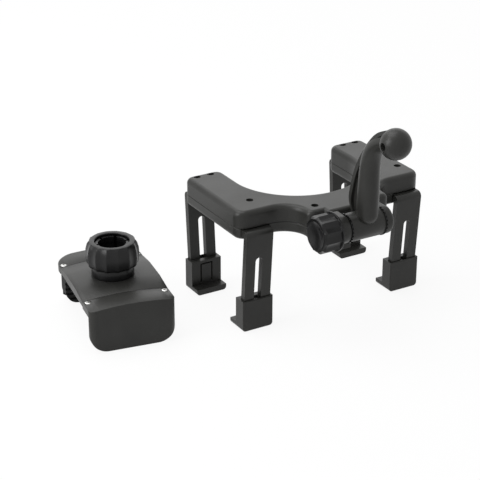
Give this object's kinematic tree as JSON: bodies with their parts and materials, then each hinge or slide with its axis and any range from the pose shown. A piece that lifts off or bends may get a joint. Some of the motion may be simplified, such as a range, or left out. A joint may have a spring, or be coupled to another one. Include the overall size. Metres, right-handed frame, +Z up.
{
  "type": "rearview mirror phone holder",
  "caption": "Sprung bracket that hooks round a car's rearview mirror, with a hinged ball arm, and its phone clamp with sliding jaws and a ball socket, set down beside it.",
  "frame": {"origin": "on the floor below the middle of the mirror bracket, between its four hooks", "axes": "+X along the mirror and the bracket's length, +Y from the driver's side to the windscreen, +Z up"},
  "size_m": [0.2039, 0.1553, 0.1279],
  "materials": {
    "charcoal_plastic": "satin moulded",
    "black_plastic": "semi-gloss moulded",
    "black_rubber": "matte ribbed",
    "steel": "bright zinc",
    "brass": "turned"
  },
  "bodies": {
    "housing": {"upper_cover": "charcoal_plastic", "lower_cover": "charcoal_plastic", "cover_screws": "steel", "hinge_yoke": "charcoal_plastic", "hinge_bolt": "steel", "leg_spring_front_left": "steel", "leg_spring_front_right": "steel", "leg_spring_rear_left": "steel", "leg_spring_rear_right": "steel", "clamp_cover": "charcoal_plastic", "clamp_base_plate": "charcoal_plastic", "base_plate_screws": "steel", "ball_socket": "black_plastic", "socket_screw": "steel", "jaw_spring_front": "steel", "jaw_spring_rear": "steel"},
    "arm": {"ball_arm": "charcoal_plastic"},
    "knob": {"hinge_knob": "black_plastic", "knob_insert": "brass"},
    "collar": {"collar_nut": "black_plastic"},
    "jaw_front": {"front_jaw": "charcoal_plastic", "front_jaw_pad": "black_rubber", "front_jaw_screws": "steel"},
    "jaw_rear": {"rear_jaw": "charcoal_plastic", "rear_jaw_pad": "black_rubber", "rear_jaw_screws": "steel"},
    "leg_front_left": {"leg_front_left": "charcoal_plastic"},
    "foot_front_left": {"foot_front_left": "black_plastic"},
    "leg_front_right": {"leg_front_right": "charcoal_plastic"},
    "foot_front_right": {"foot_front_right": "black_plastic"},
    "leg_rear_left": {"leg_rear_left": "charcoal_plastic"},
    "foot_rear_left": {"foot_rear_left": "black_plastic"},
    "leg_rear_right": {"leg_rear_right": "charcoal_plastic"},
    "foot_rear_right": {"foot_rear_right": "black_plastic"}
  },
  "joints": [
    {"name": "leg_front_left_slide", "type": "slide", "parent": "housing", "child": "leg_front_left", "axis": [0, -1, 0], "range_m": [0, 0.01], "stiffness_N_per_m": 200, "springref_m": -0.008},
    {"name": "foot_front_left_slide", "type": "slide", "parent": "leg_front_left", "child": "foot_front_left", "axis": [0, -0.0748, 0.9972], "range_m": [0, 0.018]},
    {"name": "leg_front_right_slide", "type": "slide", "parent": "housing", "child": "leg_front_right", "axis": [0, -1, 0], "range_m": [0, 0.01], "stiffness_N_per_m": 200, "springref_m": -0.008},
    {"name": "foot_front_right_slide", "type": "slide", "parent": "leg_front_right", "child": "foot_front_right", "axis": [0, -0.0748, 0.9972], "range_m": [0, 0.018]},
    {"name": "leg_rear_left_slide", "type": "slide", "parent": "housing", "child": "leg_rear_left", "axis": [0, 1, 0], "range_m": [0, 0.01], "stiffness_N_per_m": 200, "springref_m": -0.008},
    {"name": "foot_rear_left_slide", "type": "slide", "parent": "leg_rear_left", "child": "foot_rear_left", "axis": [0, 0.0748, 0.9972], "range_m": [0, 0.018]},
    {"name": "leg_rear_right_slide", "type": "slide", "parent": "housing", "child": "leg_rear_right", "axis": [0, 1, 0], "range_m": [0, 0.01], "stiffness_N_per_m": 200, "springref_m": -0.008},
    {"name": "foot_rear_right_slide", "type": "slide", "parent": "leg_rear_right", "child": "foot_rear_right", "axis": [0, 0.0748, 0.9972], "range_m": [0, 0.018]},
    {"name": "arm_tilt", "type": "hinge", "parent": "housing", "child": "arm", "pos_m": [0, -0.0595, 0.0632], "axis": [1, 0, 0], "range_deg": [0, 55]},
    {"name": "knob_turn", "type": "hinge", "parent": "housing", "child": "knob", "pos_m": [0, -0.0595, 0.0632], "axis": [1, 0, 0], "continuous": true},
    {"name": "collar_turn", "type": "hinge", "parent": "housing", "child": "collar", "pos_m": [-0.1133, 0.02, 0.042], "axis": [0, 0, 1], "continuous": true},
    {"name": "jaw_front_slide", "type": "slide", "parent": "housing", "child": "jaw_front", "axis": [-0.165, -0.9863, 0], "range_m": [0, 0.01], "stiffness_N_per_m": 250, "springref_m": -0.01},
    {"name": "jaw_rear_slide", "type": "slide", "parent": "housing", "child": "jaw_rear", "axis": [0.165, 0.9863, 0], "range_m": [0, 0.01], "stiffness_N_per_m": 250, "springref_m": -0.01}
  ]
}
